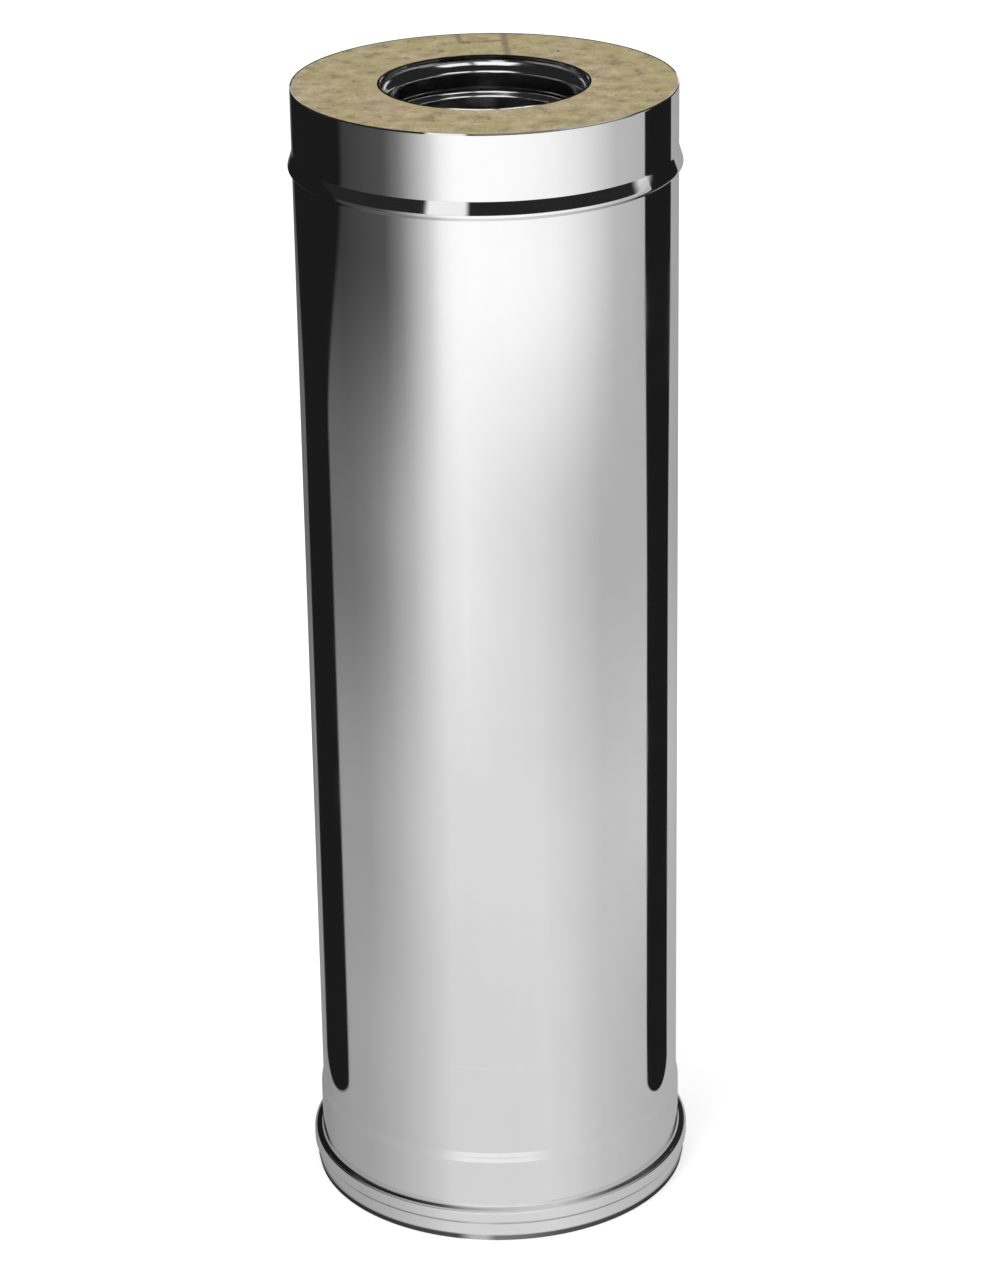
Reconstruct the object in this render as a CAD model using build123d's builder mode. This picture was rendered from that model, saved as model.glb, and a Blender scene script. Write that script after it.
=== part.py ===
"""Twin-wall insulated chimney pipe: a straight section standing on its socket end.

An outer shell of stainless sheet and an inner flue pipe share one upright axis,
with a ring of mineral wool packed between them. The shell's spigot and the flue
pipe's socket are at the top, the shell's socket and the flue pipe's spigot are
at the bottom, so that one section plugs onto the next.
Millimetres, +Z up, origin on the axis in the plane of the lowest edge.
"""

from build123d import *
from math import asin, atan2, cos, degrees, hypot, sin, sqrt
import os

os.makedirs("parts", exist_ok=True)

# Outer shell
section_length = 500.0
shell_radius = 80.0
shell_sheet = 0.5
spigot_lead_in = 0.2
spigot_lead_height = 0.6
stop_bead_crest_depth = 33.5
stop_bead_upper_flank = 6.2
stop_bead_lower_flank = 2.2
stop_bead_rise = 1.8

# Shell's socket, which slips over the next section's spigot
socket_clearance = 0.4
rim_seat_height = 40.0
step_height = 5.0
collar_crest_height = 14.0
collar_ledge_height = 2.2
collar_rise = 3.8
collar_band_height = 3.4
collar_groove_flank = 2.6
collar_groove_depth = 1.7
skirt_flank = 2.4
skirt_rise = 0.4
turn_in_top_height = 3.4
turn_in_height = 2.4
turn_in = 0.5
hem_radius = 0.7
hem_land = 0.2

# Inner flue pipe
liner_radius = 40.0
liner_sheet = 0.5
liner_clearance = 0.25
liner_recess = 2.0
liner_end_gap = 1.0
liner_lead_in = 0.3
liner_lead_height = 4.0
mouth_crest_radius = 43.9
mouth_crest_depth = 2.0
mouth_height = 7.2
groove_depth = 15.0
groove_height = 5.6
groove_rise = 1.5
shoulder_height = 3.0
liner_bead_drop = 3.0
liner_bead_height = 6.0
liner_bead_rise = 1.6

# Mineral wool
wool_gap = 0.15
wool_below_rim = 0.5
wool_above_seat = 1.0

# How far an outline runs on past the rim where the wool's flat top cuts it off
overrun = 5.0

# Shares that shape an S-bend: how tight its bends are against the softest ones that would fit, and how
# much of both bends the concave foot of a swage or step takes
soft_bends = 0.95
close_bends = 0.8
crisp_bends = 0.35
foot_share = 0.35
even_share = 0.5

down = Vector(0, -1)


def both_bends(height, shift, bends):
    """The two radii of an S-bend added up, as the share called bends of the softest pair that fits."""
    return bends * (height**2 + shift**2) / (2 * abs(shift))


def s_bend(start, height, shift, first_share, bends):
    """Runs down by height and sideways by shift, outward if positive: a bend, a flank, a bend back."""
    radii = both_bends(height, shift, bends)
    sideways = abs(shift) - radii
    turn = degrees(atan2(sideways, height) + asin(radii / hypot(height, sideways)))
    side = 1 if shift > 0 else -1
    first = JernArc(start=start, tangent=down, radius=radii * first_share, arc_size=side * turn)
    flank_length = sqrt((1 - bends) * (height**2 + shift**2))
    flank = Line(first @ 1, (first @ 1) + (first % 1) * flank_length)
    second_radius = radii * (1 - first_share)
    second = JernArc(start=flank @ 1, tangent=first % 1, radius=second_radius, arc_size=-side * turn)
    return second @ 1


def bead(start, upper_flank, lower_flank, rise, upper_bends):
    """A swage in the wall: out to its crest and back, with one S-bend for each flank."""
    crest = s_bend(start, upper_flank, rise, foot_share, upper_bends)
    return s_bend(crest, lower_flank, -rise, 1 - foot_share, close_bends)


def wall_down(start, end_height):
    """A straight wall from start down to end_height."""
    wall = Line(start, Vector(start.X, end_height))
    return wall @ 1


def shell_line():
    """The shell's outer face, from its top rim down to the land of its hem."""
    rim = Vector(shell_radius - spigot_lead_in, section_length)
    lead = Line(rim, Vector(shell_radius, section_length - spigot_lead_height))
    bead_top = section_length - stop_bead_crest_depth + stop_bead_upper_flank
    spigot_end = wall_down(lead @ 1, bead_top)
    below_bead = bead(spigot_end, stop_bead_upper_flank, stop_bead_lower_flank, stop_bead_rise, crisp_bends)

    step_top = wall_down(below_bead, rim_seat_height + step_height / 2)
    socket_top = s_bend(step_top, step_height, socket_clearance + shell_sheet, even_share, soft_bends)
    ledge_top = wall_down(socket_top, collar_crest_height + collar_ledge_height)
    collar_crest = s_bend(ledge_top, collar_ledge_height, collar_rise, foot_share, close_bends)
    band_end = wall_down(collar_crest, collar_crest_height - collar_band_height)
    groove = s_bend(band_end, collar_groove_flank, -collar_groove_depth, even_share, close_bends)
    skirt_crest = s_bend(groove, skirt_flank, skirt_rise, even_share, close_bends)
    turn_in_top = wall_down(skirt_crest, turn_in_top_height)
    turn_in_end = s_bend(turn_in_top, turn_in_height, -turn_in, even_share, close_bends)
    hem_top = wall_down(turn_in_end, hem_radius)
    hem = JernArc(start=hem_top, tangent=down, radius=hem_radius, arc_size=-90)
    land = Line(hem @ 1, (hem @ 1) - Vector(hem_land, 0))
    return rim, land @ 1


def liner_line():
    """The flue pipe's outer face, from the lip of its mouth down to its spigot's end."""
    socket_radius = liner_radius + liner_clearance + liner_sheet
    mouth_drop = mouth_height - mouth_crest_depth
    mouth_rise = mouth_crest_radius - socket_radius
    crest_bend = even_share * both_bends(mouth_drop, mouth_rise, soft_bends)
    lip_turn = asin(mouth_crest_depth / crest_bend)
    lip = Vector(mouth_crest_radius - crest_bend * (1 - cos(lip_turn)), section_length)
    lip_direction = Vector(sin(lip_turn), -cos(lip_turn))
    JernArc(start=lip, tangent=lip_direction, radius=crest_bend, arc_size=-degrees(lip_turn))
    crest = Vector(mouth_crest_radius, section_length - mouth_crest_depth)
    mouth_foot = s_bend(crest, mouth_drop, -mouth_rise, even_share, soft_bends)

    groove_top = section_length - groove_depth + groove_height / 2
    groove_flank = groove_height / 2
    groove_start = wall_down(mouth_foot, groove_top)
    below_groove = bead(groove_start, groove_flank, groove_flank, groove_rise, close_bends)
    socket_depth = rim_seat_height - liner_recess + liner_end_gap
    shoulder_top = wall_down(below_groove, section_length - socket_depth)
    neck = s_bend(shoulder_top, shoulder_height, liner_radius - socket_radius, even_share, soft_bends)

    bead_top = rim_seat_height - liner_bead_drop + liner_bead_height / 2
    liner_flank = liner_bead_height / 2
    spigot_top = bead(wall_down(neck, bead_top), liner_flank, liner_flank, liner_bead_rise, close_bends)
    lead_top = wall_down(spigot_top, liner_recess + liner_lead_height)
    spigot_end = Vector(liner_radius - liner_lead_in, liner_recess)
    Line(lead_top, spigot_end)
    return lip, spigot_end


def close_to_axis(top, bottom):
    """Carries a wall's outline a little past its top and joins it to its bottom by way of the axis."""
    top_height = top.Y + overrun
    Polyline(top, (top.X, top_height), (0, top_height), (0, bottom.Y), bottom)


# Outer shell: one turned sheet with its stop bead, step, collar and hemmed skirt
with BuildPart() as outer_shell:
    with BuildSketch(Plane.XZ):
        with BuildLine():
            shell_line()
            offset(amount=shell_sheet, side=Side.RIGHT)
        make_face()
    revolve(axis=Axis.Z)

# Inner flue pipe: one turned sheet with a flared, swaged socket and a beaded spigot
with BuildPart() as inner_pipe:
    with BuildSketch(Plane.XZ):
        with BuildLine():
            liner_line()
            offset(amount=liner_sheet, side=Side.RIGHT)
        make_face()
    revolve(axis=Axis.Z)

# Mineral wool: what is left between the two sheets, from the rim's seat up to the rims
with BuildSketch(Plane.XZ) as shell_cavity:
    with BuildLine():
        close_to_axis(*shell_line())
    make_face()
    offset(amount=-shell_sheet - wool_gap)

with BuildSketch(Plane.XZ) as liner_space:
    with BuildLine():
        close_to_axis(*liner_line())
    make_face()
    offset(amount=wool_gap)

wool_bottom = rim_seat_height + wool_above_seat
wool_top = section_length - wool_below_rim
with BuildPart() as insulation:
    with BuildSketch(Plane.XZ):
        with Locations((0, wool_bottom)):
            Rectangle(2 * shell_radius, wool_top - wool_bottom, align=(Align.MIN, Align.MIN))
        add(shell_cavity.sketch, mode=Mode.INTERSECT)
        add(liner_space.sketch, mode=Mode.SUBTRACT)
    revolve(axis=Axis.Z)

outer_shell.part.label = "outer_shell"
export_step(outer_shell.part, "parts/outer_shell.step")
inner_pipe.part.label = "inner_pipe"
export_step(inner_pipe.part, "parts/inner_pipe.step")
insulation.part.label = "insulation"
export_step(insulation.part, "parts/insulation.step")
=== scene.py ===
import math

import bmesh
import bpy
from mathutils import Matrix, Vector, noise


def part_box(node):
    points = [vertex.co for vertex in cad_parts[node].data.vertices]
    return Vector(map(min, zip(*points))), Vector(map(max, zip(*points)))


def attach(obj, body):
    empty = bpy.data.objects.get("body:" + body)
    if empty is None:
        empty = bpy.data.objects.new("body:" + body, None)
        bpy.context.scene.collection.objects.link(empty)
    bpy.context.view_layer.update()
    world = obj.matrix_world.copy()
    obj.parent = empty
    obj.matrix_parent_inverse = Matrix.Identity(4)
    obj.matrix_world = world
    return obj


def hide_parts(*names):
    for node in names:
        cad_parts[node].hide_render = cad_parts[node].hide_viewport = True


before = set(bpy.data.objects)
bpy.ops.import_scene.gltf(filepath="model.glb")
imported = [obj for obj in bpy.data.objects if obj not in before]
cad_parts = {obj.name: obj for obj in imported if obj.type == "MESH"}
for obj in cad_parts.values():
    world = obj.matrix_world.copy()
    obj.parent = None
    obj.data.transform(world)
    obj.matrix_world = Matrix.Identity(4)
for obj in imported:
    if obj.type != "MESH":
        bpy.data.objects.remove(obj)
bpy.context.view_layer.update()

woolLow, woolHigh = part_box("insulation")
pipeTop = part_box("outer_shell")[1].z
wallRadius = 0.08
print("frame loaded, the section is", round(pipeTop * 1000), "mm high")


# Small helpers for node trees

def addNode(tree, kind, settings=None, **inputs):
    node = tree.nodes.new(kind)
    for name, value in (settings or {}).items():
        setattr(node, name, value)
    for name, value in inputs.items():
        connect(tree, value, node.inputs[name.replace("_", " ")])
    return node


def connect(tree, value, socket):
    if isinstance(value, bpy.types.NodeSocket):
        tree.links.new(value, socket)
    else:
        socket.default_value = value


def mathNode(tree, operation, *values):
    node = tree.nodes.new("ShaderNodeMath")
    node.operation = operation
    for value, socket in zip(values, node.inputs):
        connect(tree, value, socket)
    return node.outputs[0]


def rise(tree, value, start, end, low=0.0, high=1.0):
    # smooth change from low to high while value goes from start to end
    node = addNode(tree, "ShaderNodeMapRange", {"interpolation_type": "SMOOTHSTEP"})
    for socket, number in zip(node.inputs, (value, start, end, low, high)):
        connect(tree, number, socket)
    return node.outputs[0]


def mixColours(tree, factor, first, second):
    node = addNode(tree, "ShaderNodeMix", {"data_type": "RGBA"})
    connect(tree, factor, node.inputs["Factor"])
    connect(tree, first, node.inputs[6])
    connect(tree, second, node.inputs[7])
    return node.outputs[2]


def ramp(tree, value, stops, smooth="EASE"):
    node = addNode(tree, "ShaderNodeValToRGB", Fac=value)
    node.color_ramp.interpolation = smooth
    elements = node.color_ramp.elements
    while len(elements) < len(stops):
        elements.new(0.5)
    for element, (position, colour) in zip(elements, stops):
        element.position = position
        element.color = (*colour, 1) if hasattr(colour, "__len__") else (colour, colour, colour, 1)
    return node.outputs["Color"]


def newMaterial(name):
    material = bpy.data.materials.new(name)
    material.use_nodes = True
    tree = material.node_tree
    tree.nodes.clear()
    output = addNode(tree, "ShaderNodeOutputMaterial")
    return material, tree, output


def objectPoint(tree, scale=(1, 1, 1)):
    place = addNode(tree, "ShaderNodeTexCoord").outputs["Object"]
    if tuple(scale) == (1, 1, 1):
        return place
    return addNode(tree, "ShaderNodeMapping", Vector=place, Scale=scale).outputs["Vector"]


def cloud(tree, place, scale, detail=3.0, roughness=0.5):
    # one noise pattern as a grey value around 0.5
    return addNode(
        tree, "ShaderNodeTexNoise", Vector=place, Scale=scale, Detail=detail, Roughness=roughness
    ).outputs["Fac"]


def meshObject(name, bm):
    mesh = bpy.data.meshes.new(name)
    bm.to_mesh(mesh)
    bm.free()
    piece = bpy.data.objects.new(name, mesh)
    bpy.context.scene.collection.objects.link(piece)
    return piece


# Steel sheet, bright rolled: a mirror with a little haze, rolling grain and gentle waves

steel = {
    "hazeScale": 14.0,
    "streakScale": 160.0,
    "streakShare": 0.2,
    "smudgeEnds": (0.42, 0.72),
    "smudgeShade": 0.965,
    "waveScale": 9.0,
    "grainScale": 2600.0,
    "grainHeight": 0.0000012,
    # scale up the sheet against round it, for the patterns that run up it
    "streakRun": 0.02,
    "waveRun": 0.35,
    "grainRun": 0.01,
    "seamEdge": (0.00055, 0.00030),
    "seamHeight": 0.00006,
    "seamHaze": 0.12,
}


def weldSeam(tree, turn):
    # a thin welded line down one side of the sheet: 1 on it
    x, y, z = addNode(tree, "ShaderNodeSeparateXYZ", Vector=objectPoint(tree)).outputs
    across = mathNode(tree, "ADD", mathNode(tree, "MULTIPLY", x, math.cos(turn)),
                      mathNode(tree, "MULTIPLY", y, math.sin(turn)))
    outward = mathNode(tree, "SUBTRACT", mathNode(tree, "MULTIPLY", x, math.sin(turn)),
                       mathNode(tree, "MULTIPLY", y, math.cos(turn)))
    line = rise(tree, mathNode(tree, "ABSOLUTE", across), *steel["seamEdge"])
    return mathNode(tree, "MULTIPLY", line, mathNode(tree, "GREATER_THAN", outward, 0.0))


def steelMaterial(name, finish):
    material, tree, output = newMaterial(name)
    colour = finish["colour"]
    seam = weldSeam(tree, math.radians(finish["seamBearing"]))
    haze = cloud(tree, objectPoint(tree), steel["hazeScale"], 4.0, 0.6)
    streaks = cloud(tree, objectPoint(tree, (1, 1, steel["streakRun"])), steel["streakScale"], 2.0)
    both = mathNode(tree, "ADD", mathNode(tree, "MULTIPLY", haze, 1 - steel["streakShare"]),
                    mathNode(tree, "MULTIPLY", streaks, steel["streakShare"]))
    smudge = rise(tree, both, *steel["smudgeEnds"])
    waves = cloud(tree, objectPoint(tree, (1, 1, steel["waveRun"])), steel["waveScale"], 1.0)
    grain = cloud(tree, objectPoint(tree, (1, 1, steel["grainRun"])), steel["grainScale"], 2.0)
    wavy = addNode(tree, "ShaderNodeBump", Height=waves, Strength=1.0, Distance=finish["waveHeight"])
    grainy = addNode(
        tree, "ShaderNodeBump", Height=grain, Strength=1.0,
        Distance=steel["grainHeight"], Normal=wavy.outputs["Normal"],
    )
    welded = addNode(
        tree, "ShaderNodeBump", Height=seam, Strength=0.8,
        Distance=steel["seamHeight"], Normal=grainy.outputs["Normal"],
    )
    hazy = rise(tree, smudge, 0.0, 1.0, *finish["roughness"])
    rough = mathNode(tree, "MULTIPLY_ADD", seam, steel["seamHaze"], hazy)
    darker = tuple(steel["smudgeShade"] * part for part in colour)
    shader = addNode(
        tree, "ShaderNodeBsdfPrincipled",
        Base_Color=mixColours(tree, smudge, (*colour, 1), (*darker, 1)),
        Metallic=1.0,
        Roughness=rough,
        Normal=welded.outputs["Normal"],
    )
    connect(tree, shader.outputs["BSDF"], output.inputs["Surface"])
    return material


# The two sheets, each turned from one line drawn down its outer face

bendStep = math.radians(7)
endStep = 0.00015
sharpAngle = math.radians(40)
sheetThickness = 0.0005
mergeDistance = 1e-6

def straight(bm, tip, offset):
    # a short step at each end keeps the shading of the bends out of the flat part
    offset = Vector(offset)
    share = min(0.2, endStep / offset.length)
    for part in (share, 1 - 2 * share, share):
        made = bmesh.ops.extrude_vert_indiv(bm, verts=[tip])["verts"]
        bmesh.ops.translate(bm, verts=made, vec=offset * part)
        tip = made[0]
    return tip


def bend(bm, tip, heading, radius, turn):
    # heading is measured from straight down, a turn outward is positive
    side = math.copysign(1, turn)
    centre = tip.co + side * radius * Vector((math.cos(heading), 0, math.sin(heading)))
    arc = bmesh.ops.spin(
        bm, geom=[tip], cent=centre, axis=(0, -1, 0), angle=turn,
        steps=max(3, math.ceil(abs(turn) / bendStep)), use_merge=False, use_duplicate=False,
    )
    return [part for part in arc["geom_last"] if isinstance(part, bmesh.types.BMVert)][0]


def sBend(bm, tip, height, shift, footShare, bends):
    # down by height and sideways by shift: a bend, a straight flank and a bend back
    reach = height * height + shift * shift
    radii = bends * reach / (2 * abs(shift))
    sideways = abs(shift) - radii
    turn = math.atan2(sideways, height) + math.asin(radii / math.hypot(height, sideways))
    turn = math.copysign(turn, shift)
    tip = bend(bm, tip, 0.0, radii * footShare, turn)
    flank = math.sqrt((1 - bends) * reach)
    tip = straight(bm, tip, (flank * math.sin(turn), 0, -flank * math.cos(turn)))
    return bend(bm, tip, turn, radii * (1 - footShare), -turn)


def drawLine(bm, start, moves):
    # a bend's values are its heading, radius and turn, an S-bend's are those of sBend
    tip = bmesh.ops.create_vert(bm, co=(start[0], 0, start[1]))["vert"][0]
    for kind, *values in moves:
        if kind == "wall to":
            tip = straight(bm, tip, (0, 0, values[0] - tip.co.z))
        elif kind == "straight":
            tip = straight(bm, tip, (values[0], 0, -values[1]))
        elif kind == "bend":
            tip = bend(bm, tip, math.radians(values[0]), values[1], math.radians(values[2]))
        else:
            tip = sBend(bm, tip, *values)


def turnSheet(name, sheet):
    bm = bmesh.new()
    drawLine(bm, sheet["start"], sheet["moves"])
    bmesh.ops.spin(
        bm, geom=bm.verts[:] + bm.edges[:], cent=(0, 0, 0), axis=(0, 0, 1),
        angle=math.tau, steps=sheet["turns"], use_merge=True, use_duplicate=False,
    )
    bmesh.ops.remove_doubles(bm, verts=bm.verts, dist=mergeDistance)
    bmesh.ops.recalc_face_normals(bm, faces=bm.faces)
    bmesh.ops.solidify(bm, geom=bm.faces[:], thickness=sheetThickness)
    for face in bm.faces:
        face.smooth = True
    for edge in bm.edges:
        edge.smooth = edge.calc_face_angle(0) < sharpAngle
    return meshObject(name, bm)


def addPiece(piece, material, node):
    piece.data.materials.append(material)
    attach(piece, "root")
    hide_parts(node)
    print(piece.name, "made,", len(piece.data.polygons), "faces")


shell = {
    "colour": (0.86, 0.86, 0.865),
    "roughness": (0.045, 0.11),
    "waveHeight": 0.00012,
    "seamBearing": 158,
    "start": (0.0798, 0.5),
    "turns": 320,
    "moves": [
        ("straight", 0.0002, 0.0006),
        ("wall to", 0.4727),
        ("S-bend", 0.0062, 0.0018, 0.35, 0.35),
        ("S-bend", 0.0022, -0.0018, 0.65, 0.80),
        ("wall to", 0.0425),
        ("S-bend", 0.0050, 0.0009, 0.50, 0.95),
        ("wall to", 0.0162),
        ("S-bend", 0.0022, 0.0038, 0.35, 0.80),
        ("wall to", 0.0106),
        ("S-bend", 0.0026, -0.0017, 0.50, 0.80),
        ("S-bend", 0.0024, 0.0004, 0.50, 0.80),
        ("wall to", 0.0034),
        ("S-bend", 0.0024, -0.0005, 0.50, 0.80),
        ("wall to", 0.0007),
        ("bend", 0, 0.0007, -90),
        ("straight", -0.0002, 0.0),
    ],
}
flue = {
    "colour": (0.80, 0.80, 0.81),
    "roughness": (0.12, 0.20),
    "waveHeight": 0.00003,
    "seamBearing": 20,
    "start": (0.043054, 0.5),
    "turns": 300,
    "moves": [
        ("bend", 45.86, 0.002787, -45.86),
        ("S-bend", 0.0052, -0.00315, 0.80, 0.95),
        ("wall to", 0.4878),
        ("S-bend", 0.0028, 0.0015, 0.35, 0.80),
        ("S-bend", 0.0028, -0.0015, 0.65, 0.80),
        ("wall to", 0.461),
        ("S-bend", 0.0030, -0.00075, 0.50, 0.95),
        ("wall to", 0.040),
        ("S-bend", 0.0030, 0.0016, 0.35, 0.80),
        ("S-bend", 0.0030, -0.0016, 0.65, 0.80),
        ("wall to", 0.006),
        ("straight", -0.0003, 0.004),
    ],
}
shellPiece = turnSheet("polished_shell", shell)
addPiece(shellPiece, steelMaterial("polished shell steel", shell), "outer_shell")
fluePiece = turnSheet("flue_liner", flue)
addPiece(fluePiece, steelMaterial("flue steel", flue), "inner_pipe")


# Mineral wool: a ring of matted fibre whose cut faces show between the two sheets

wool = {
    "turns": 560,
    "topRings": 52,
    "bottomRings": 20,
    # radii of its half section, and the height of the short lengths at both ends of its outer side
    "innerTop": 0.0440,
    "outer": 0.07935,
    "outerFoot": 0.0790,
    "innerFoot": 0.0405,
    "endHeight": 0.004,
    # relief of the cut faces: which points it moves, how deep, and how shallow beside the sheets
    "topReach": 0.002,
    "footReach": 0.001,
    "footRelief": (0.041, 0.0785),
    "topDrop": 0.0001,
    "reliefDepth": 0.0012,
    "lumpScale": 260,
    "fibreScale": 900,
    "pitScale": 420,
    "pitShift": Vector((9, 4, 2)),
    "pitStart": 0.38,
    "heldOuter": 0.0794,
    "heldShare": 0.12,
    "heldWidth": 0.0022,
    # the butt joint of the ring and a shallow flap cut beside it
    "cutStarts": [(0.0086, 0.0788), (-0.0112, 0.0775), (-0.0100, 0.0668)],
    "cutEnds": [(0.0100, 0.0430), (-0.0100, 0.0668), (0.0086, 0.0675)],
    "cutFray": 0.0022,
    "cutEdge": (0.0023, 0.0004),
    "cutStrength": 0.75,
    "cutColour": (0.15, 0.11, 0.055, 1),
    "tans": [
        (0.34, (0.215, 0.165, 0.078)), (0.45, (0.335, 0.268, 0.132)),
        (0.55, (0.400, 0.325, 0.170)), (0.68, (0.500, 0.425, 0.245)),
    ],
    # tints over the tans, each with the ends of its pattern
    "olive": {"ends": (0.46, 0.60), "strength": 0.65, "colour": (0.385, 0.325, 0.135, 1)},
    "rose": {"ends": (0.50, 0.38), "strength": 0.35, "colour": (0.46, 0.35, 0.215, 1)},
    # pit tint: dark spots of painted shade, standing for the shade in the wool's pits
    "pitShade": {"ends": (0.36, 0.27), "strength": 0.75, "colour": (0.12, 0.09, 0.045, 1)},
    "specks": {"ends": (0.62, 0.36), "strength": 0.25, "colour": (0.18, 0.14, 0.07, 1)},
}


def woolProfile(bm):
    # half section: the top cut face, the outer side and the bottom one; the flue pipe covers the rest
    outer = wool["outer"]
    half = [
        (wool["innerTop"], woolHigh.z), (outer, woolHigh.z), (outer, woolHigh.z - wool["endHeight"]),
        (outer, woolLow.z + wool["endHeight"]), (wool["outerFoot"], woolLow.z),
        (wool["innerFoot"], woolLow.z),
    ]
    corners = [bm.verts.new((x, 0, z)) for x, z in half]
    edges = [bm.edges.new(ends) for ends in zip(corners, corners[1:])]
    return edges[0], edges[-1]


def woolRelief(place):
    # matted lumps, finer fibre ends and scattered pits, shallow where the sheets hold the wool
    lumps = noise.fractal(place * wool["lumpScale"], 0.9, 2.2, 3, noise_basis="PERLIN_ORIGINAL")
    fine = noise.noise(place * wool["fibreScale"], noise_basis="PERLIN_ORIGINAL")
    spots = noise.noise(place * wool["pitScale"] + wool["pitShift"], noise_basis="PERLIN_ORIGINAL")
    pit = max(0.0, spots - wool["pitStart"]) * 3.0
    radius = math.hypot(place.x, place.y)
    fromEdge = min(wool["heldOuter"] - radius, radius - wool["innerTop"])
    held = min(1.0, wool["heldShare"] + fromEdge / wool["heldWidth"])
    return wool["reliefDepth"] * held * min(1.0, max(0.0, 0.32 + 0.30 * lumps + 0.14 * fine + pit))


def makeWool():
    bm = bmesh.new()
    topEdge, bottomEdge = woolProfile(bm)
    bmesh.ops.subdivide_edges(bm, edges=[topEdge], cuts=wool["topRings"] - 1)
    bmesh.ops.subdivide_edges(bm, edges=[bottomEdge], cuts=wool["bottomRings"] - 1)
    bmesh.ops.spin(
        bm, geom=bm.verts[:] + bm.edges[:], cent=(0, 0, 0), axis=(0, 0, 1),
        angle=math.tau, steps=wool["turns"], use_merge=True, use_duplicate=False,
    )
    bmesh.ops.remove_doubles(bm, verts=bm.verts, dist=mergeDistance)
    bmesh.ops.recalc_face_normals(bm, faces=bm.faces)
    reliefStart, reliefEnd = wool["footRelief"]
    for vertex in bm.verts:
        radius = math.hypot(vertex.co.x, vertex.co.y)
        if vertex.co.z > pipeTop - wool["topReach"]:
            vertex.co.z = pipeTop - wool["topDrop"] - woolRelief(vertex.co)
        elif vertex.co.z < woolLow.z + wool["footReach"] and reliefStart < radius < reliefEnd:
            vertex.co.z += woolRelief(vertex.co)
    piece = meshObject("mineral_wool", bm)
    piece.data.polygons.foreach_set("use_smooth", [True] * len(piece.data.polygons))
    return piece


def woolCuts(tree, place):
    # how close a point lies to a cut: 1 on it, 0 beside it
    wobble = cloud(tree, place, 300.0, 2.0)
    nearest = None
    for first, second in zip(wool["cutStarts"], wool["cutEnds"]):
        start, end = Vector((*first, pipeTop)), Vector((*second, pipeTop))
        along = end - start
        level = addNode(tree, "ShaderNodeVectorMath", {"operation": "SUBTRACT"})
        connect(tree, place, level.inputs[0])
        connect(tree, tuple(start), level.inputs[1])
        dot = addNode(tree, "ShaderNodeVectorMath", {"operation": "DOT_PRODUCT"})
        connect(tree, level.outputs["Vector"], dot.inputs[0])
        connect(tree, tuple(along / along.length_squared), dot.inputs[1])
        share = addNode(tree, "ShaderNodeClamp", Value=dot.outputs["Value"]).outputs["Result"]
        foot = addNode(
            tree, "ShaderNodeVectorMath", {"operation": "SCALE"}, Vector=tuple(along), Scale=share
        )
        away = addNode(tree, "ShaderNodeVectorMath", {"operation": "DISTANCE"})
        connect(tree, level.outputs["Vector"], away.inputs[0])
        connect(tree, foot.outputs["Vector"], away.inputs[1])
        distance = away.outputs["Value"]
        nearest = distance if nearest is None else mathNode(tree, "MINIMUM", nearest, distance)
    fray = mathNode(tree, "SUBTRACT", wobble, 0.5)
    frayed = mathNode(tree, "MULTIPLY_ADD", fray, wool["cutFray"], nearest)
    return rise(tree, frayed, *wool["cutEdge"])


def woolMaterial():
    material, tree, output = newMaterial("mineral wool")
    place = objectPoint(tree)
    blotches = cloud(tree, place, 120.0, 4.0, 0.55)
    patches = cloud(tree, place, 45.0, 3.0, 0.55)
    fine = cloud(tree, place, 900.0, 3.0, 0.6)
    # dark spots of painted shade for the wool's pits
    pitShade = cloud(tree, place, 330.0, 3.0, 0.5)
    cuts = woolCuts(tree, place)
    colour = ramp(tree, blotches, wool["tans"])
    for pattern, name in ((patches, "olive"), (patches, "rose"), (pitShade, "pitShade"), (fine, "specks")):
        tint = wool[name]
        share = rise(tree, pattern, *tint["ends"], 0.0, tint["strength"])
        colour = mixColours(tree, share, colour, tint["colour"])
    cutShare = mathNode(tree, "MULTIPLY", cuts, wool["cutStrength"])
    cut = mixColours(tree, cutShare, colour, wool["cutColour"])
    dents = mathNode(tree, "MULTIPLY_ADD", cuts, -1.2, fine)
    relief = addNode(tree, "ShaderNodeBump", Height=dents, Strength=0.7, Distance=0.0004)
    shader = addNode(
        tree, "ShaderNodeBsdfPrincipled",
        Base_Color=cut, Roughness=0.95, Normal=relief.outputs["Normal"],
    )
    shader.inputs["Specular IOR Level"].default_value = 0.2
    shader.inputs["Sheen Weight"].default_value = 0.15
    connect(tree, shader.outputs["BSDF"], output.inputs["Surface"])
    return material


addPiece(makeWool(), woolMaterial(), "insulation")


# Floor, tent and lamps

floor = {
    "radius": 9.0,
    "segments": 96,
    "colour": 0.8,
    "cameraLift": 0.42,
    # painted contact shadow: the glow levels the hem mirrors close to the pipe's foot, by wall angle
    "contactShadowEnds": (0.0832, 0.0885),
    "paintedContactShadow": [
        (-88, 0.02), (-13, 0.02), (-9, 0.50), (-5, 0.50), (-2, 0.16), (8, 0.12), (18, 0.04), (88, 0.02),
    ],
}


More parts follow.
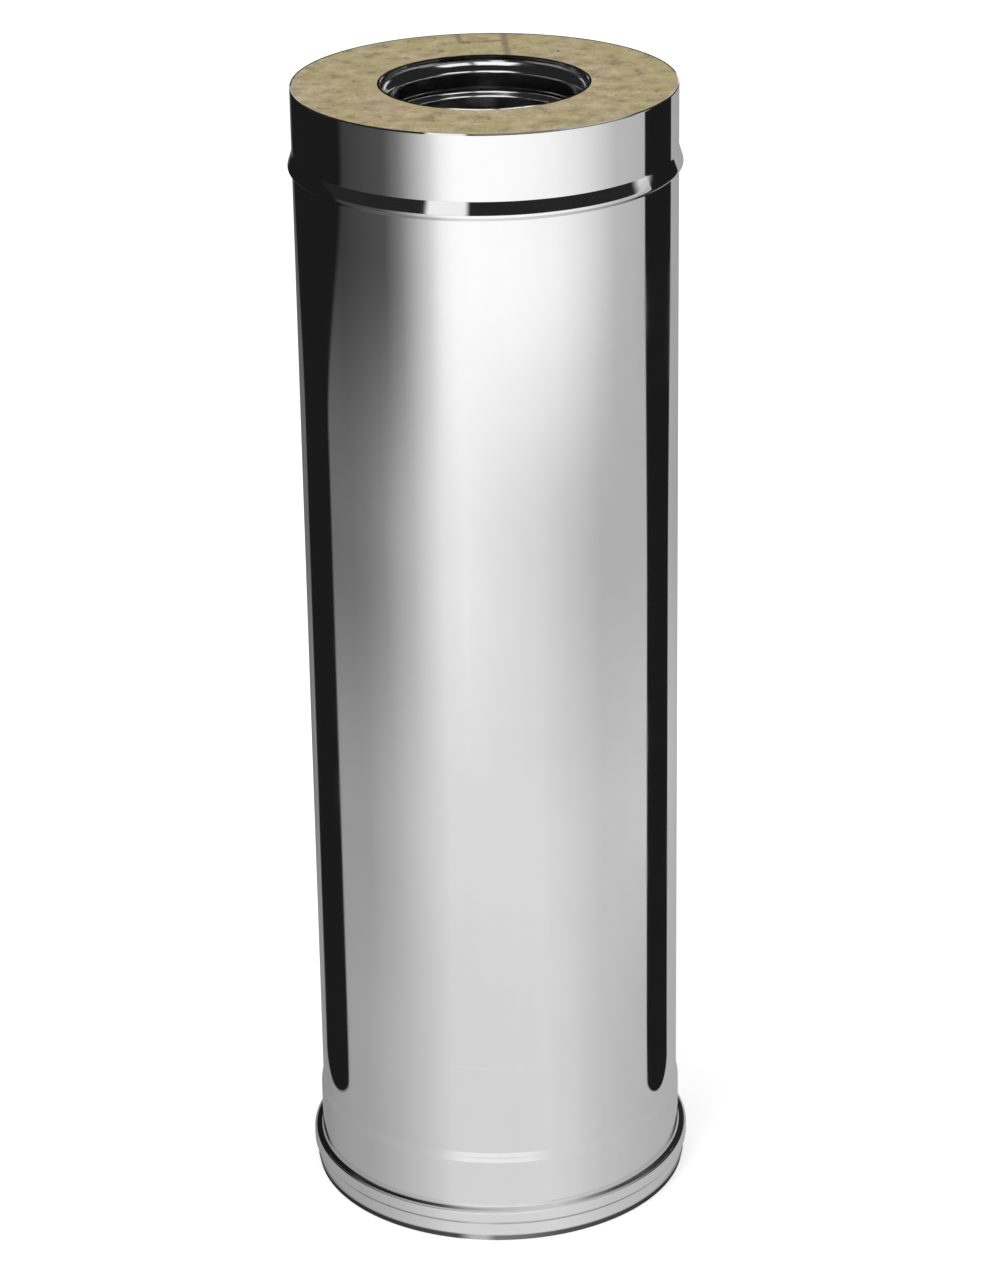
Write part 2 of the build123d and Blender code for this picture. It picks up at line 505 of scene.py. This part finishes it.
def floorMaterial():
    # the camera sees a pale matte floor, the mirror steel sees it glow like the foot of the tent,
    # darkened by a painted contact shadow close to the pipe
    material, tree, output = newMaterial("pale floor")
    path = addNode(tree, "ShaderNodeLightPath")
    lift = mathNode(tree, "MULTIPLY", path.outputs["Is Camera Ray"], floor["cameraLift"])
    level = floor["colour"]
    matte = addNode(tree, "ShaderNodeBsdfDiffuse", Color=(level, level, level, 1))
    glow = addNode(tree, "ShaderNodeEmission", Color=(1, 1, 1, 1), Strength=lift)
    both = addNode(tree, "ShaderNodeAddShader")
    connect(tree, matte.outputs[0], both.inputs[0])
    connect(tree, glow.outputs[0], both.inputs[1])
    turn, distance = bearingValues(tree)[2:]
    foot = bearingRamp(tree, turn, tent["bands"][0][1])
    # painted contact shadow: a darker glow close to the pipe's foot, seen by the mirror steel only
    paintedContactShadow = bearingRamp(tree, turn, floor["paintedContactShadow"])
    ground = mixColours(tree, rise(tree, distance, *floor["contactShadowEnds"]), paintedContactShadow, foot)
    mirrored = addNode(tree, "ShaderNodeEmission", Color=ground, Strength=1.0)
    seen = addNode(tree, "ShaderNodeMixShader", Fac=path.outputs["Is Glossy Ray"])
    connect(tree, both.outputs[0], seen.inputs[1])
    connect(tree, mirrored.outputs[0], seen.inputs[2])
    connect(tree, seen.outputs[0], output.inputs["Surface"])
    return material


def makeFloor():
    bm = bmesh.new()
    bmesh.ops.create_circle(bm, cap_ends=True, segments=floor["segments"], radius=floor["radius"])
    plate = meshObject("floor", bm)
    plate.data.materials.append(floorMaterial())


# A tall round tent of cloth and black flags that only the mirror steel sees.
# Levels are linear light, by the angle on the wall that mirrors them, in degrees to the camera's right.
tent = {
    "radius": 0.15,
    "top": 1.1,
    # heights and the levels round the tent there, mixed from one height to the next
    "bands": [
        (0.045, [
            (-104, 0.75), (-88, 0.30), (-75, 0.30), (-64, 0.36), (-46, 0.41), (-34, 0.50), (-23, 0.62),
            (-15, 0.74), (15, 0.77), (23, 0.72), (34, 0.61), (46, 0.555), (60, 0.50), (88, 0.42),
            (104, 0.75),
        ]),
        (0.15, [
            (-104, 0.80), (-88, 0.14), (-69, 0.34), (-43, 0.365), (-33, 0.47), (-14, 0.80), (14, 0.80),
            (35, 0.63), (57, 0.64), (88, 0.42), (104, 0.80),
        ]),
        (0.29, [
            (-104, 0.90), (-88, 0.14), (-54, 0.168), (-46, 0.181), (-40, 0.218), (-34, 0.285),
            (-24, 0.53), (-15, 0.86), (-8, 0.95), (-2, 0.89), (7, 0.815), (16, 0.745), (25, 0.625),
            (35, 0.50), (54, 0.49), (88, 0.35), (104, 0.90),
        ]),
        (0.43, [
            (-104, 1.0), (-88, 0.12), (-48, 0.045), (-42, 0.06), (-31, 0.085), (-26, 0.21),
            (-22, 0.42), (-17, 0.70), (-13, 1.02), (-9, 1.14), (4, 1.13), (12, 1.10), (21, 1.03),
            (30, 0.85), (41, 0.56), (54, 0.49), (88, 0.35), (104, 1.0),
        ]),
    ],
    # the cloth is dark above these heights, in front and from the sides on
    "brightTops": (0.4817, 0.4785),
    "topBearings": (30.0, 62.0),
    "topSoft": 0.0006,
    "overhead": 0.02,
}
# Flags by the wall angles that mirror their two edges, low down and high up
rightFlag = {"low": (55.1, 69.8), "high": (53.9, 71.8), "widens": (0.25, 0.45), "soft": 0.04}
leftFlag = {"low": (-75.5, -57.2), "high": (-82.0, -47.0), "widens": (0.33, 0.46), "soft": 0.08}
flagCorner = 0.012
flagLevel = 0.012
flagFoot = (0.0442, 0.0450)
# Bright cloths by bearing and height
boxSoft = 0.003
lightBoxes = [
    {"bearings": (-25.5, -8), "soft": 1.5, "heights": (0.483, 0.55), "level": 1.0},
    {"bearings": (-46, 13), "soft": 2.5, "heights": (0.56, 0.80), "level": 1.2},
    {"bearings": (20, 64), "soft": 2.5, "heights": (0.57, 0.74), "level": 1.1},
    {"bearings": (146, 172), "soft": 4.0, "heights": (0.488, 0.540), "level": 0.9},
    {"bearings": (-172, -146), "soft": 4.0, "heights": (0.488, 0.530), "level": 0.7},
    {"bearings": (73, 84), "soft": 3.5, "heights": (0.4775, 0.500), "level": 0.75},
    {"bearings": (150, 190), "soft": 6.0, "heights": (0.514, 0.526), "level": 0.50},
    {"bearings": (-190, -150), "soft": 6.0, "heights": (0.514, 0.526), "level": 0.50},
    {"bearings": (-6, 32), "soft": 6.0, "heights": (0.515, 0.540), "level": 0.20},
    {"bearings": (32, 80), "soft": 6.0, "heights": (0.515, 0.540), "level": 0.45},
    {"bearings": (-22, 18), "soft": 8.0, "heights": (0.010, 0.044), "level": 0.95},
]


def bearingOf(wallAngle):
    # where a level sight line meets the tent, after the wall has mirrored it
    angle = math.radians(wallAngle)
    return math.degrees(2 * angle - math.asin(wallRadius * math.sin(angle) / tent["radius"]))


def mirroredEdge(tree, wallAngle, distance):
    # the same for node values, at any distance from the axis and with the wall angle in degrees
    angle = mathNode(tree, "MULTIPLY", wallAngle, math.pi / 180)
    aside = mathNode(tree, "MULTIPLY", mathNode(tree, "SINE", angle), wallRadius)
    share = mathNode(tree, "DIVIDE", aside, distance)
    back = mathNode(tree, "MULTIPLY", mathNode(tree, "ARCSINE", share), 180 / math.pi)
    return mathNode(tree, "SUBTRACT", mathNode(tree, "MULTIPLY", wallAngle, 2.0), back)


def bearingValues(tree):
    # a point's height, its bearing in degrees, its place on a bearing ramp and its distance from the axis
    x, y, height = addNode(tree, "ShaderNodeSeparateXYZ", Vector=objectPoint(tree)).outputs
    angle = mathNode(tree, "ARCTAN2", x, mathNode(tree, "MULTIPLY", y, -1.0))
    bearing = mathNode(tree, "MULTIPLY", angle, 180 / math.pi)
    flat = addNode(tree, "ShaderNodeCombineXYZ", X=x, Y=y).outputs["Vector"]
    length = addNode(tree, "ShaderNodeVectorMath", {"operation": "LENGTH"}, Vector=flat)
    distance = length.outputs["Value"]
    # nearer the wall the same wall angle is mirrored at a smaller bearing
    nearness = mathNode(tree, "DIVIDE", wallRadius, distance)
    spread = mathNode(tree, "SUBTRACT", 2.0, nearness)
    widened = mathNode(tree, "DIVIDE", 2 - wallRadius / tent["radius"], spread)
    turn = mathNode(tree, "MULTIPLY_ADD", mathNode(tree, "MULTIPLY", angle, widened), 1 / math.tau, 0.5)
    return height, bearing, turn, distance


def bearingRamp(tree, turn, stops):
    places = [((bearingOf(angle) + 180) / 360, level) for angle, level in stops]
    return ramp(tree, turn, places, "LINEAR")


def inside(tree, value, low, high, soft):
    return mathNode(
        tree, "MULTIPLY",
        rise(tree, value, low - soft, low + soft),
        rise(tree, value, high + soft, high - soft),
    )


def flagMask(tree, flag, bearing, distance, height, along):
    # a tall card with rounded lower corners: 1 inside, 0 outside
    widening = rise(tree, height, *flag["widens"])
    edges = []
    for low, high in zip(flag["low"], flag["high"]):
        wallAngle = mathNode(tree, "MULTIPLY_ADD", widening, high - low, low)
        edges.append(mirroredEdge(tree, wallAngle, distance))
    low, high = edges
    centre = mathNode(tree, "MULTIPLY", mathNode(tree, "ADD", low, high), 0.5)
    halfWidth = mathNode(tree, "MULTIPLY", mathNode(tree, "SUBTRACT", high, low), 0.5)
    across = mathNode(tree, "DIVIDE", mathNode(tree, "SUBTRACT", bearing, centre), halfWidth)
    left = mathNode(tree, "MAXIMUM", mathNode(tree, "SUBTRACT", flagCorner, along), 0.0)
    below = mathNode(tree, "DIVIDE", left, flagCorner)
    spread = mathNode(
        tree, "SQRT",
        mathNode(tree, "ADD", mathNode(tree, "MULTIPLY", across, across),
                 mathNode(tree, "MULTIPLY", below, below)),
    )
    return rise(tree, spread, 1 + flag["soft"], 1 - flag["soft"])


def addFlags(tree, level, bearing, distance, height, along):
    black = (flagLevel, flagLevel, flagLevel, 1)
    for flag in (leftFlag, rightFlag):
        level = mixColours(tree, flagMask(tree, flag, bearing, distance, height, along), level, black)
    return level


def addGlow(tree, output, level):
    glow = addNode(tree, "ShaderNodeEmission", Color=level, Strength=1.0)
    connect(tree, glow.outputs[0], output.inputs["Surface"])


def tentMaterial():
    material, tree, output = newMaterial("tent cloth")
    height, bearing, turn, distance = bearingValues(tree)
    lowest, levels = tent["bands"][0]
    level = bearingRamp(tree, turn, levels)
    for highest, levels in tent["bands"][1:]:
        higher = bearingRamp(tree, turn, levels)
        level = mixColours(tree, rise(tree, height, lowest, highest), level, higher)
        lowest = highest
    # the flags stand on the card ring and end there
    along = rise(tree, height, *flagFoot, -flagCorner, flagCorner)
    level = addFlags(tree, level, bearing, distance, height, along)
    dark = tent["overhead"]
    sideways = mathNode(tree, "ABSOLUTE", bearing)
    brightTop = rise(tree, sideways, *tent["topBearings"], *tent["brightTops"])
    over = mathNode(tree, "SUBTRACT", height, brightTop)
    soft = tent["topSoft"]
    level = mixColours(tree, rise(tree, over, -soft, soft), level, (dark, dark, dark, 1))
    for box in lightBoxes:
        mask = mathNode(tree, "MULTIPLY", inside(tree, bearing, *box["bearings"], box["soft"]),
                        inside(tree, height, *box["heights"], boxSoft))
        level = mixColours(tree, mask, level, (box["level"], box["level"], box["level"], 1))
    addGlow(tree, output, level)
    return material


# A ring of card at the tent's foot that glows for the mirror steel: light on top, painted shade below,
# where the lower bends look up at it

cardRing = {
    "inner": 0.0835, "outer": 0.15, "height": 0.045, "thick": 0.0004, "underGap": 0.0015,
    "segments": 360,
    # the underside's band of painted shade by distance from the axis, and the bearings over which it
    # widens
    "darkStart": (0.099, 0.105), "darkStop": (0.123, 0.117), "widens": (42, 78),
    "under": [(-75, 0.01), (-30, 0.02), (-20, 0.08), (-11, 0.42), (0, 0.64), (9, 0.77), (18, 0.80),
              (24, 0.62), (31, 0.31), (40, 0.08), (75, 0.02)],
}


def cardMaterial(name, isTop):
    material, tree, output = newMaterial(name)
    height, bearing, turn, distance = bearingValues(tree)
    foot = bearingRamp(tree, turn, tent["bands"][0][1])
    if isTop:
        along = mathNode(tree, "SUBTRACT", distance, cardRing["inner"])
        level = addFlags(tree, foot, bearing, distance, height, along)
    else:
        # painted shade in a narrow band, and at the sides right up to the pipe
        sides = rise(tree, mathNode(tree, "ABSOLUTE", bearing), *cardRing["widens"])
        start = mathNode(tree, "MAXIMUM", sides, rise(tree, distance, *cardRing["darkStart"]))
        dark = mathNode(tree, "MULTIPLY", start, rise(tree, distance, *cardRing["darkStop"]))
        level = mixColours(tree, dark, foot, bearingRamp(tree, turn, cardRing["under"]))
    addGlow(tree, output, level)
    return material


def makeCard(name, inner, height, isTop):
    bm = bmesh.new()
    bmesh.ops.create_circle(bm, cap_ends=False, segments=cardRing["segments"], radius=inner)
    grown = bmesh.ops.extrude_edge_only(bm, edges=bm.edges[:])["geom"]
    outer = [part for part in grown if isinstance(part, bmesh.types.BMVert)]
    size = cardRing["outer"] / inner
    bmesh.ops.scale(bm, verts=outer, vec=(size, size, 1))
    bmesh.ops.translate(bm, verts=bm.verts[:], vec=(0, 0, height))
    card = meshObject(name, bm)
    card.data.materials.append(cardMaterial(name, isTop))
    mirrorOnly(card)


def mirrorOnly(piece):
    piece.visible_camera = False
    piece.visible_diffuse = False
    piece.visible_transmission = False
    piece.visible_volume_scatter = False
    piece.visible_shadow = False


def makeTent():
    bm = bmesh.new()
    bmesh.ops.create_circle(bm, cap_ends=False, segments=cardRing["segments"], radius=tent["radius"])
    side = bmesh.ops.extrude_edge_only(bm, edges=bm.edges[:])
    raised = [part for part in side["geom"] if isinstance(part, bmesh.types.BMVert)]
    bmesh.ops.translate(bm, verts=raised, vec=(0, 0, tent["top"]))
    roofEdges = [edge for edge in bm.edges if all(vertex in raised for vertex in edge.verts)]
    bmesh.ops.holes_fill(bm, edges=roofEdges)
    cloth = meshObject("light_tent", bm)
    cloth.data.materials.append(tentMaterial())
    mirrorOnly(cloth)
    makeCard("card_top", cardRing["inner"], cardRing["height"], True)
    underInner = cardRing["inner"] + cardRing["underGap"]
    makeCard("card_under", underInner, cardRing["height"] - cardRing["thick"], False)


def makeWorld():
    world = bpy.data.worlds.new("studio")
    bpy.context.scene.world = world
    world.use_nodes = True
    tree = world.node_tree
    tree.nodes.clear()
    path = addNode(tree, "ShaderNodeLightPath")
    ambient = studio["ambient"]
    level = mathNode(tree, "MULTIPLY_ADD", path.outputs["Is Camera Ray"], 1.0 - ambient, ambient)
    glow = addNode(tree, "ShaderNodeBackground", Color=(1, 1, 1, 1), Strength=level)
    output = addNode(tree, "ShaderNodeOutputWorld")
    connect(tree, glow.outputs[0], output.inputs["Surface"])


studio = {
    "ambient": 0.72,
    "lamps": [
        {"name": "front left softbox", "at": (-1.1, -1.6, 1.9), "size": 1.2, "watts": 26},
        {"name": "back right fill", "at": (1.3, 1.2, 1.7), "size": 1.4, "watts": 9},
    ],
    "lookAt": (0, 0, 0.3),
}


def makeLamps():
    for lamp in studio["lamps"]:
        light = bpy.data.lights.new(lamp["name"], "AREA")
        light.size = lamp["size"]
        light.energy = lamp["watts"]
        box = bpy.data.objects.new(lamp["name"], light)
        box.location = lamp["at"]
        aim = Vector(studio["lookAt"]) - Vector(lamp["at"])
        box.rotation_euler = aim.to_track_quat("-Z", "Y").to_euler()
        box.visible_glossy = False
        bpy.context.scene.collection.objects.link(box)


makeFloor()
makeTent()
makeWorld()
makeLamps()
print("stage set")


# Camera, at the photograph's angle: it looks down on the section from the front

view = {
    "distance": 1.6007,
    "height": 0.9245,
    "turn": 0.108,
    "pitch": 22.85,
    "roll": -0.859,
    "focalPixels": 4000,
    "imageHeight": 1286,
    "sensor": 36.0,
    "clip": (0.05, 50),
}


def makeCamera():
    data = bpy.data.cameras.new("camera")
    data.sensor_width = view["sensor"]
    data.lens = view["focalPixels"] / view["imageHeight"] * view["sensor"]
    data.clip_start, data.clip_end = view["clip"]
    camera = bpy.data.objects.new("camera", data)
    camera.location = (0, -view["distance"], view["height"])
    facing = (Matrix.Rotation(math.radians(-view["turn"]), 3, "Z")
              @ Matrix.Rotation(math.radians(90 - view["pitch"]), 3, "X")
              @ Matrix.Rotation(math.radians(view["roll"]), 3, "Z"))
    camera.rotation_euler = facing.to_euler()
    bpy.context.scene.collection.objects.link(camera)
    bpy.context.scene.camera = camera


makeCamera()
bpy.context.scene.view_settings.view_transform = "Standard"

print("scene ready")
